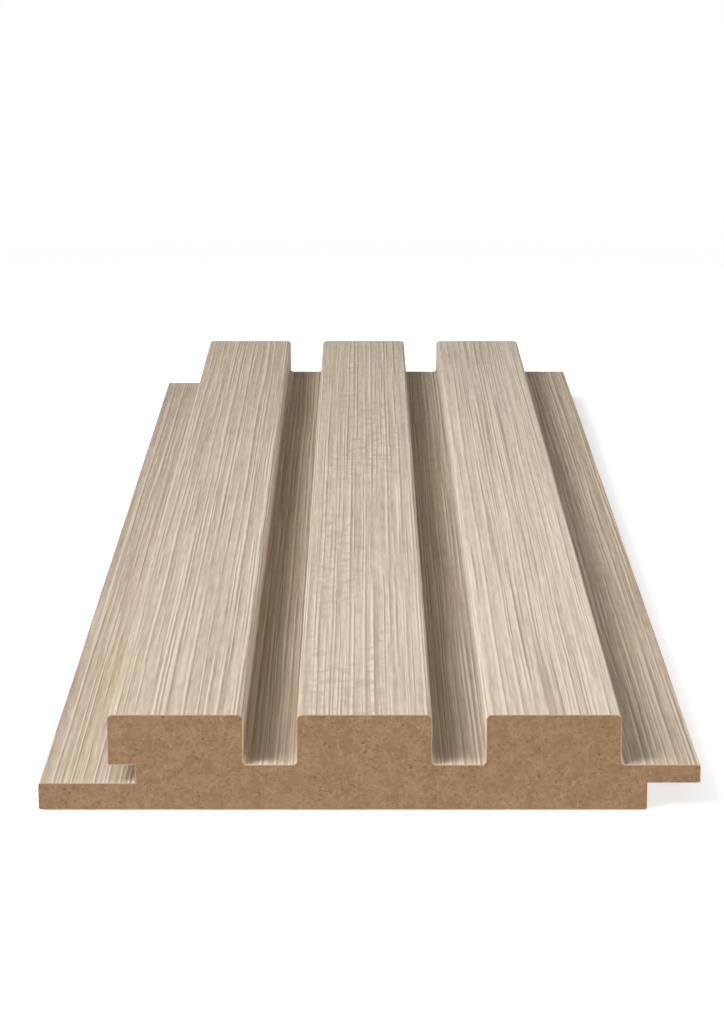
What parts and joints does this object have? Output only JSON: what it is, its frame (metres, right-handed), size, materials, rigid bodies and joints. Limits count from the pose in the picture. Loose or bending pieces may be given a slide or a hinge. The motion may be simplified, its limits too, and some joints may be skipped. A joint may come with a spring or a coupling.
{
  "type": "mdf wall panel",
  "caption": "Slatted MDF wall panel in wood-look foil: a milled board with rounded slats, a slotted lap along one long edge and a tongue along the other, sawn square at the ends.",
  "frame": {"origin": "middle of the panel's outline, on the plane of its back", "axes": "+Y along the panel's length, +X across it towards the tongue, +Z out of the decorated face"},
  "size_m": [0.121, 0.4, 0.018],
  "materials": {
    "decor_foil": "matt wood-look foil with a fine straight grain; the sawn ends and the back are bare brown MDF"
  },
  "bodies": {
    "root": {"wall_panel": "decor_foil"}
  },
  "joints": []
}
